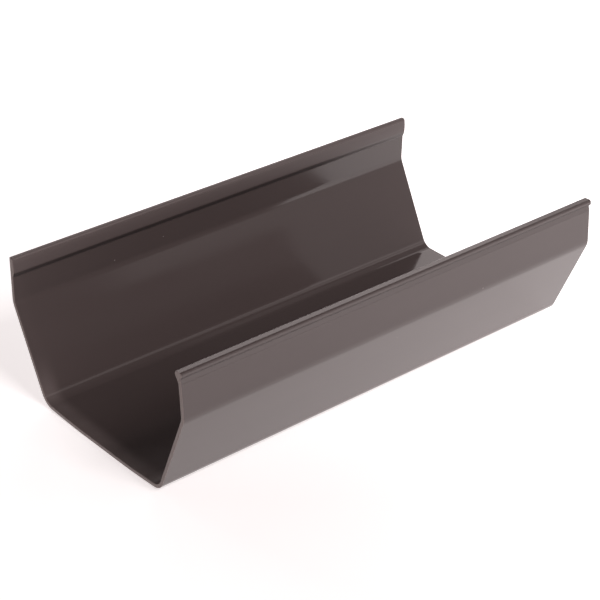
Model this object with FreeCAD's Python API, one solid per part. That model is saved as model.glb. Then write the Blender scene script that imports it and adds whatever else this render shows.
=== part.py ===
import FreeCAD, Part
import math
import os

# Gutter section: a short square-cut piece of extruded PVC gutter, one solid.
# X runs along the gutter, +Y is the back wall that stands against the fascia board, +Z is up.
# The origin is on the level of the underside, at mid-length, midway between the two walls.
# Sizes are in millimetres.

# Piece
length = 210.0
wall = 1.6

# Outer faces of the section, before its corners are rounded
knee_width = 120.0
back_knee_height = 42.2
front_knee_height = 41.2
back_height = 63.5
front_height = 61.7
back_lean = 2.0

# Base: level along the middle and lifted a little towards both sides, so that water runs inwards
base_width = 82.7
base_shift = 1.3
base_lift = 1.05
level_width = 40.0
lift_radius = 300.0

# Outer rounding where the walls bend
knee_radius = 8.0
corner_radius = 7.5

# Back rim: a crowned strip on the inner face, which the rear clip of a bracket grips. Its foot is
# a ramp that runs out into the wall.
strip_height = 9.2
strip_foot_rise = 2.2
strip_foot = 0.9
strip_crown = 1.15
strip_crown_down = 3.6
rim_top_width = 2.2
strip_root_radius = 1.0
strip_foot_radius = 4.0
strip_crown_radius = 20.0
strip_edge_radius = 1.2
rim_edge_radius = 0.5

# Front rim: a bead with a nose outside and a tapered web inside, for the front clip of a bracket
nose_reach = 0.65
nose_height = 2.1
nose_radius = 1.0
nose_foot_radius = 0.45
neck_depth = 0.45
neck_down = 2.7
neck_radius = 0.35
neck_start = 5.0
lip_reach = 1.3
lip_swell = 1.9
lip_swell_down = 1.6
lip_radius = 0.8
web_height = 4.8
web_radius = 3.0


def section_point(y, z):
    return FreeCAD.Vector(0, y, z)


def inset(corners, distance):
    """Corners of the line that runs inside an open line of corners, at one distance from it."""
    runs = []
    for start, end in zip(corners, corners[1:]):
        along = (end - start).normalize()
        inward = section_point(along.z, -along.y)
        runs.append((start + inward * distance, along, inward))
    inner = [runs[0][0]]
    for (near, along, inward), (far, far_along, far_inward) in zip(runs, runs[1:]):
        step = (far - near).dot(far_inward) / along.dot(far_inward)
        inner.append(near + along * step)
    last_run = corners[-1] - corners[-2]
    inner.append(runs[-1][0] + last_run)
    return inner


def on_wall(top, knee, down, out):
    """Point on an upper wall, a way down from its top and a way out of its outer face."""
    along = (knee - top).normalize()
    outward = section_point(-along.z, along.y) if top.y > 0 else section_point(along.z, -along.y)
    return top + along * down + outward * out


def rounded_outline(corners):
    """Closed line through corners given as (point, radius), with an arc of its radius at each."""
    arcs = []
    for i, (corner, radius) in enumerate(corners):
        to_last = (corners[i - 1][0] - corner).normalize()
        to_next = (corners[(i + 1) % len(corners)][0] - corner).normalize()
        half_angle = to_last.getAngle(to_next) / 2
        reach = radius / math.tan(half_angle)
        depth = radius / math.sin(half_angle) - radius
        middle = corner + (to_last + to_next).normalize() * depth
        arcs.append((corner + to_last * reach, middle, corner + to_next * reach))
    edges = []
    for i, (start, middle, end) in enumerate(arcs):
        edges.append(Part.LineSegment(arcs[i - 1][2], start).toShape())
        edges.append(Part.Arc(start, middle, end).toShape())
    return Part.Wire(edges)


def outer_corners():
    """Corners of the outer faces, from the top of the back wall round to the top of the front one."""
    half_mouth = knee_width / 2
    return [
        section_point(half_mouth - back_lean, back_height),
        section_point(half_mouth, back_knee_height),
        section_point(base_shift + base_width / 2, base_lift),
        section_point(level_width / 2, 0),
        section_point(-level_width / 2, 0),
        section_point(base_shift - base_width / 2, base_lift),
        section_point(-half_mouth, front_knee_height),
        section_point(-half_mouth, front_height),
    ]


def front_rim(top, knee):
    """Bead from the outer face, over its top, down to the inner face."""
    shape = [
        (neck_start, 0, web_radius),
        (neck_down, -neck_depth, neck_radius),
        (nose_height, nose_reach, nose_foot_radius),
        (0, nose_reach, nose_radius),
        (0, -wall - lip_reach, lip_radius),
        (lip_swell_down, -wall - lip_swell, lip_radius),
        (web_height, -wall, web_radius),
    ]
    return [(on_wall(top, knee, down, out), radius) for down, out, radius in shape]


def back_rim(top, knee):
    """Strip from the inner face up to the outer edge of the top."""
    shape = [
        (strip_height, -wall, strip_root_radius),
        (strip_height - strip_foot_rise, -wall - strip_foot, strip_foot_radius),
        (strip_crown_down, -wall - strip_crown, strip_crown_radius),
        (0, -rim_top_width, strip_edge_radius),
        (0, 0, rim_edge_radius),
    ]
    return [(on_wall(top, knee, down, out), radius) for down, out, radius in shape]


def gutter_channel():
    outer = outer_corners()
    inner = inset(outer, wall)
    bend_radii = [knee_radius, corner_radius, lift_radius, lift_radius, corner_radius, knee_radius]
    outside = list(zip(outer[1:-1], bend_radii))
    inside = [(corner, radius - wall) for corner, radius in zip(inner[1:-1], bend_radii)]
    outline = rounded_outline(
        outside
        + front_rim(outer[-1], outer[-2])
        + list(reversed(inside))
        + back_rim(outer[0], outer[1])
    )
    channel = Part.Face(outline).extrude(FreeCAD.Vector(length, 0, 0))
    box = channel.BoundBox
    channel.translate(FreeCAD.Vector(-length / 2, -(box.YMin + box.YMax) / 2, 0))
    return channel


os.makedirs("parts", exist_ok=True)
gutter_channel().exportStep("parts/gutter_channel.step")
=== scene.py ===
import math

import bmesh
import bpy
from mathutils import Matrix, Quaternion, Vector


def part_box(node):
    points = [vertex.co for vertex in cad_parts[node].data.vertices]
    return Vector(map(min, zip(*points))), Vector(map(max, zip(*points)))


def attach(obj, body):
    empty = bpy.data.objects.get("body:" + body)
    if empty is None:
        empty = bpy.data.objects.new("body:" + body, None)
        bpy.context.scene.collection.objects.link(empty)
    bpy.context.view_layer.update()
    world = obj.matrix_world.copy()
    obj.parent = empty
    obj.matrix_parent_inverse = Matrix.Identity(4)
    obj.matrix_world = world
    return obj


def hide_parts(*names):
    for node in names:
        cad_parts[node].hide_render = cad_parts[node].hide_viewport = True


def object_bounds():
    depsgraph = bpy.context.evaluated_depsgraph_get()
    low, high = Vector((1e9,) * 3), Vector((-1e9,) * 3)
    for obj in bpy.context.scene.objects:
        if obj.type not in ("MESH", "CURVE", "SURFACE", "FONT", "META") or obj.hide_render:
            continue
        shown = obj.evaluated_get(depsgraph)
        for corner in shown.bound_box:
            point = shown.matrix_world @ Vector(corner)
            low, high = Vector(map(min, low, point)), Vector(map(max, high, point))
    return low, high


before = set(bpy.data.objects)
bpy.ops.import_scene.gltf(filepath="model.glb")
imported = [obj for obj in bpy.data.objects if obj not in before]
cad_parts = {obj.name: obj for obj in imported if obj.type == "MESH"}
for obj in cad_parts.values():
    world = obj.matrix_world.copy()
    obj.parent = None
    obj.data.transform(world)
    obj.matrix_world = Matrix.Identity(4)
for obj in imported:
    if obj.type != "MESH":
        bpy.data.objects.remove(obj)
cad_low, cad_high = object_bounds()
scene = bpy.context.scene
scene.view_settings.view_transform = "Standard"


# Camera
# A long lens looks down into the trough from the front left corner, with the front rim on the
# right and both cut ends in view.

camera_azimuth = math.radians(-37.682)
camera_elevation = math.radians(28.475)
camera_roll = math.radians(-2.321)
camera_distance = 0.7338
camera_aim = Vector((0.00475, 0.01157, 0.02223))


def direction(azimuth, elevation):
    """Unit vector from the gutter towards a place at an azimuth, from the front, and elevation."""
    return Vector((
        math.sin(azimuth) * math.cos(elevation),
        -math.cos(azimuth) * math.cos(elevation),
        math.sin(elevation),
    ))


backwards = direction(camera_azimuth, camera_elevation)
camera_data = bpy.data.cameras.new("camera")
camera_data.sensor_width = 36.0
camera_data.lens = 103.263
camera_data.clip_start = 0.01
camera_data.clip_end = 20.0
camera = bpy.data.objects.new("camera", camera_data)
camera.location = camera_aim + backwards * camera_distance
camera.rotation_mode = "QUATERNION"
level_view = (-backwards).to_track_quat("-Z", "Y")
camera.rotation_quaternion = level_view @ Quaternion((0.0, 0.0, 1.0), camera_roll)
scene.collection.objects.link(camera)
scene.camera = camera


# Studio
# A white light table in a dim room, with soft boxes round it that are a little warm. The table
# glows more on its right. Nothing hangs overhead, so the trough floor stays dark.

warm_white = (1.0, 0.90, 0.89, 1.0)
room_glow = 0.015
table_glow = (1.0, 0.92, 0.915, 1.0)
table_coat = (0.79, 0.85, 0.86, 1.0)
table_half_width = 6.0
glow_left = 0.63
glow_right = 1.06
ramp_starts = -0.12
ramp_ends = 0.20
box_distance = 1.8
box_centre = Vector((0.0, 0.0, 0.03))

world = bpy.data.worlds.new("studio")
scene.world = world
world.use_nodes = True
room = world.node_tree.nodes["Background"]
room.inputs["Color"].default_value = warm_white
room.inputs["Strength"].default_value = room_glow

table_shape = bmesh.new()
bmesh.ops.create_grid(table_shape, x_segments=1, y_segments=1, size=table_half_width)
bmesh.ops.translate(table_shape, verts=table_shape.verts, vec=(0.0, 0.0, cad_low.z))
table_mesh = bpy.data.meshes.new("table")
table_shape.to_mesh(table_mesh)
table_shape.free()
table = bpy.data.objects.new("table", table_mesh)
scene.collection.objects.link(table)
table_paint = bpy.data.materials.new("white_table")
table_paint.use_nodes = True
table_nodes = table_paint.node_tree.nodes
table_links = table_paint.node_tree.links
table_shader = table_nodes["Principled BSDF"]
table_shader.inputs["Base Color"].default_value = table_coat
table_shader.inputs["Roughness"].default_value = 0.9
table_shader.inputs["Specular IOR Level"].default_value = 0.0
table_shader.inputs["Emission Color"].default_value = table_glow
table_place = table_nodes.new("ShaderNodeTexCoord")
table_axes = table_nodes.new("ShaderNodeSeparateXYZ")
table_links.new(table_place.outputs["Object"], table_axes.inputs["Vector"])
glow_ramp = table_nodes.new("ShaderNodeMapRange")
glow_ramp.interpolation_type = "SMOOTHSTEP"
glow_ramp.inputs["From Min"].default_value = ramp_starts
glow_ramp.inputs["From Max"].default_value = ramp_ends
glow_ramp.inputs["To Min"].default_value = glow_left
glow_ramp.inputs["To Max"].default_value = glow_right
table_links.new(table_axes.outputs["X"], glow_ramp.inputs["Value"])
table_links.new(glow_ramp.outputs["Result"], table_shader.inputs["Emission Strength"])
table_mesh.materials.append(table_paint)

for name, azimuth, elevation, size, radiance in (
    ("front_box", 0.0, 41.0, 0.55, 16.9),
    ("low_right_box", 43.0, 13.0, 1.0, 0.52),
    ("front_right_box", 41.0, 30.0, 0.85, 0.66),
    ("right_box", 68.0, 32.0, 0.8, 0.68),
    ("high_right_box", 90.0, 46.0, 1.0, 0.20),
    ("right_back_box", 118.0, 34.0, 0.8, 1.22),
    ("rim_box", 144.0, 30.0, 0.7, 1.6),
    ("low_back_box", 144.0, 10.0, 0.6, 2.9),
    ("back_box", 180.0, 20.0, 1.0, 3.0),
    ("left_back_box", -140.0, 25.0, 1.0, 0.95),
):
    towards = direction(math.radians(azimuth), math.radians(elevation))
    lamp_data = bpy.data.lights.new(name, "AREA")
    lamp_data.shape = "SQUARE"
    lamp_data.size = size
    lamp_data.color = warm_white[:3]
    lamp_data.energy = math.pi * size ** 2 * radiance
    lamp = bpy.data.objects.new(name, lamp_data)
    lamp.location = box_centre + towards * box_distance
    lamp.rotation_mode = "QUATERNION"
    lamp.rotation_quaternion = (-towards).to_track_quat("-Z", "Y")
    scene.collection.objects.link(lamp)


# Gutter channel
# One length of brown PVC gutter, pushed out through a steel die in one piece with both its rims.
# The die leaves it glossy, with faint lines along it, and the saw leaves both ends dull.

saw_break = 0.0002
same_point = 1e-6
flat_within = math.radians(0.3)

channel_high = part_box("gutter_channel")[1]
half_length = channel_high.x
top = channel_high.z
strip_foot = top - 0.0076
inner_face = channel_high.y - 0.0023

melt_dark = (0.088, 0.0705, 0.069, 1.0)
melt_light = (0.098, 0.078, 0.0765, 1.0)
# painted sheen on the strip's face
strip_painted_sheen = (0.124, 0.100, 0.098, 1.0)
# painted shade under the strip's foot
painted_shade_brown = (0.018, 0.015, 0.015, 1.0)
# painted highlight on the back rim's top
rim_painted_highlight = (0.160, 0.130, 0.127, 1.0)
sawn_dark = (0.150, 0.115, 0.108, 1.0)
sawn_light = (0.260, 0.205, 0.195, 1.0)
# painted pool of light near the open left end
left_end_painted_light = (0.45, 0.39, 0.38, 1.0)
speck_pale = (0.42, 0.36, 0.35, 1.0)

refraction = 1.5
satin_roughness = 0.5
dust_roughness = 0.8
wave_depth = 0.00012
die_line_depth = 0.000002
saw_mark_depth = 0.00005

channel_shape = bmesh.new()
channel_shape.from_mesh(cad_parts["gutter_channel"].data)
bmesh.ops.remove_doubles(channel_shape, verts=channel_shape.verts, dist=same_point)
bmesh.ops.dissolve_limit(
    channel_shape, angle_limit=flat_within, verts=channel_shape.verts, edges=channel_shape.edges
)
cut_edges = [
    edge for edge in channel_shape.edges
    if all(abs(abs(corner.co.x) - half_length) < same_point for corner in edge.verts)
]
bmesh.ops.bevel(
    channel_shape, geom=cut_edges, offset=saw_break, offset_type="OFFSET",
    affect="EDGES", segments=2, profile=0.5, material=-1,
)
for face in channel_shape.faces:
    face.smooth = True
channel_mesh = bpy.data.meshes.new("channel")
channel_shape.to_mesh(channel_mesh)
channel_shape.free()
channel = bpy.data.objects.new("channel", channel_mesh)
scene.collection.objects.link(channel)
even_normals = channel.modifiers.new("even_normals", "WEIGHTED_NORMAL")
even_normals.keep_sharp = True

pvc = bpy.data.materials.new("brown_pvc")
pvc.use_nodes = True
pvc_nodes = pvc.node_tree.nodes
pvc_links = pvc.node_tree.links
pvc_shader = pvc_nodes["Principled BSDF"]
pvc_shader.inputs["IOR"].default_value = refraction
place = pvc_nodes.new("ShaderNodeTexCoord").outputs["Object"]
axes = pvc_nodes.new("ShaderNodeSeparateXYZ")
pvc_links.new(place, axes.inputs["Vector"])
along, across, up = (axes.outputs[axis] for axis in "XYZ")


def feed(socket, part):
    """Link a socket to another one, or set it to a plain value."""
    if isinstance(part, bpy.types.NodeSocket):
        pvc_links.new(part, socket)
    else:
        socket.default_value = part


def stretched_noise(stretch, turn, detail, roughness):
    """Noise whose grain is as fine along each axis as the stretch says, in grains per metre."""
    mapping = pvc_nodes.new("ShaderNodeMapping")
    mapping.inputs["Scale"].default_value = stretch
    mapping.inputs["Rotation"].default_value = (turn, 0.0, 0.0)
    pvc_links.new(place, mapping.inputs["Vector"])
    noise = pvc_nodes.new("ShaderNodeTexNoise")
    noise.inputs["Scale"].default_value = 1.0
    noise.inputs["Detail"].default_value = detail
    noise.inputs["Roughness"].default_value = roughness
    pvc_links.new(mapping.outputs["Vector"], noise.inputs["Vector"])
    return noise.outputs["Fac"]


def between(value, from_low, from_high, to_low, to_high):
    """Value moved smoothly from one range to another, and held at its ends."""
    span = pvc_nodes.new("ShaderNodeMapRange")
    span.interpolation_type = "SMOOTHSTEP"
    for name, number in (
        ("From Min", from_low), ("From Max", from_high), ("To Min", to_low), ("To Max", to_high)
    ):
        span.inputs[name].default_value = number
    pvc_links.new(value, span.inputs["Value"])
    return span.outputs["Result"]


def mixed(share, first, second, kind="RGBA"):
    """Mix of two colours or two numbers, given as sockets or as plain values."""
    mix = pvc_nodes.new("ShaderNodeMix")
    mix.data_type = kind
    first_input, second_input, result = {"RGBA": (6, 7, 2), "FLOAT": (2, 3, 0)}[kind]
    pvc_links.new(share, mix.inputs[0])
    feed(mix.inputs[first_input], first)
    feed(mix.inputs[second_input], second)
    return mix.outputs[result]


def maths(operation, first, second):
    """One sum on a socket and a number or another socket."""
    node = pvc_nodes.new("ShaderNodeMath")
    node.operation = operation
    feed(node.inputs[0], first)
    feed(node.inputs[1], second)
    return node.outputs["Value"]


def overlap(*masks):
    """Where all the masks meet."""
    common = masks[0]
    for mask in masks[1:]:
        common = maths("MULTIPLY", common, mask)
    return common


def relief(height, depth, under=None):
    """Normal of a bump as deep as the pattern says, laid over another bump's normal."""
    bump = pvc_nodes.new("ShaderNodeBump")
    bump.inputs["Strength"].default_value = 1.0
    bump.inputs["Distance"].default_value = depth
    pvc_links.new(height, bump.inputs["Height"])
    if under:
        pvc_links.new(under, bump.inputs["Normal"])
    return bump.outputs["Normal"]


uneven_patches = stretched_noise((22.0, 30.0, 30.0), 0.0, 4.0, 0.6)

# The plastic's own colour, a little uneven along the streaks of the melt
streaks = stretched_noise((9.0, 60.0, 60.0), 0.0, 3.0, 0.55)
melt = mixed(streaks, melt_dark, melt_light)

# The face of the strip on the back rim, which the die leaves satin; its colour is painted paler
# there, a painted sheen for the light the strip catches
back_half = between(across, 0.040, 0.050, 0.0, 1.0)
inside = between(across, inner_face - 0.0002, inner_face, 1.0, 0.0)
above_foot = between(up, strip_foot, strip_foot + 0.0012, 0.0, 1.0)
satin_and_painted_sheen = overlap(above_foot, back_half, inside)
with_painted_sheen = mixed(satin_and_painted_sheen, melt, strip_painted_sheen)

# Painted shade in a dark line under the strip's foot, fainter towards the right end
under_strip = between(up, strip_foot, strip_foot + 0.0006, 1.0, 0.0)
above_wall = between(up, strip_foot - 0.0018, strip_foot - 0.0012, 0.0, 1.0)
left_part = between(along, 0.050, 0.075, 1.0, 0.2)
painted_shade_line = overlap(under_strip, above_wall, back_half, inside)
painted_shade = maths("MULTIPLY", overlap(painted_shade_line, left_part), 0.65)
with_painted_shade = mixed(painted_shade, with_painted_sheen, painted_shade_brown)

# The top of the back rim, painted paler in uneven patches: a painted highlight along the rim top
rim_top = between(up, top - 0.0030, top - 0.0008, 0.0, 1.0)
painted_rim_highlight = overlap(rim_top, back_half, between(uneven_patches, 0.25, 0.7, 0.5, 1.0))
with_rim_highlight = mixed(painted_rim_highlight, with_painted_shade, rim_painted_highlight)

# Sawn faces at both ends
from_middle = maths("ABSOLUTE", along, 0.0)
sawn = between(
    from_middle, half_length - 1.4 * saw_break, half_length - 0.4 * saw_break, 0.0, 1.0
)
saw_marks = stretched_noise((1.0, 120.0, 2600.0), math.radians(14.0), 2.0, 0.6)
with_cuts = mixed(sawn, with_rim_highlight, mixed(saw_marks, sawn_dark, sawn_light))

# A painted pool of light, pale and uneven, low on the trough floor and the foot of the back wall
# near the open left end
near_cut = between(along, -half_length + 0.003, -half_length + 0.009, 1.0, 0.0)
low_down = between(up, 0.006, 0.022, 1.0, 0.1)
behind_front_wall = between(across, -0.040, -0.035, 0.0, 1.0)
light_unevenness = between(uneven_patches, 0.25, 0.75, 0.1, 0.2)
painted_end_light = overlap(near_cut, light_unevenness, low_down, behind_front_wall)
with_end_light = mixed(painted_end_light, with_cuts, left_end_painted_light)

# A few specks of pale dust
cells = pvc_nodes.new("ShaderNodeTexVoronoi")
cells.inputs["Scale"].default_value = 160.0
pvc_links.new(place, cells.inputs["Vector"])
cell_chance = pvc_nodes.new("ShaderNodeSeparateColor")
pvc_links.new(cells.outputs["Color"], cell_chance.inputs["Color"])
chosen = between(cell_chance.outputs["Red"], 0.955, 0.965, 0.0, 1.0)
spot = between(cells.outputs["Distance"], 0.03, 0.06, 1.0, 0.0)
specks = maths("MULTIPLY", overlap(chosen, spot), 0.5)
pvc_links.new(mixed(specks, with_end_light, speck_pale), pvc_shader.inputs["Base Color"])

# Gloss: duller in faint handled patches, along the die lines and on the upper walls, satin on the
# strip, and dull on the sawn faces
die_lines = stretched_noise((3.0, 1100.0, 1100.0), 0.0, 2.0, 0.5)
patches = between(uneven_patches, 0.35, 0.75, 0.09, 0.13)
lines = between(die_lines, 0.3, 0.7, 0.0, 0.02)
upper_walls = between(up, 0.038, 0.050, 0.0, 0.07)
gloss = maths("ADD", maths("ADD", patches, lines), upper_walls)
rims = mixed(maths("MAXIMUM", satin_and_painted_sheen, painted_shade_line), gloss, satin_roughness, "FLOAT")
dullness = mixed(sawn, rims, between(saw_marks, 0.2, 0.8, 0.5, 0.66), "FLOAT")
pvc_links.new(mixed(specks, dullness, dust_roughness, "FLOAT"), pvc_shader.inputs["Roughness"])

# Slow waves from cooling, die lines, and the saw's marks
waves = relief(stretched_noise((14.0, 28.0, 28.0), 0.0, 1.0, 0.4), wave_depth)
lined = relief(die_lines, die_line_depth, waves)
sawn_relief = relief(overlap(saw_marks, sawn), saw_mark_depth, lined)
pvc_links.new(sawn_relief, pvc_shader.inputs["Normal"])

channel_mesh.materials.append(pvc)
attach(channel, "root")
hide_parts("gutter_channel")
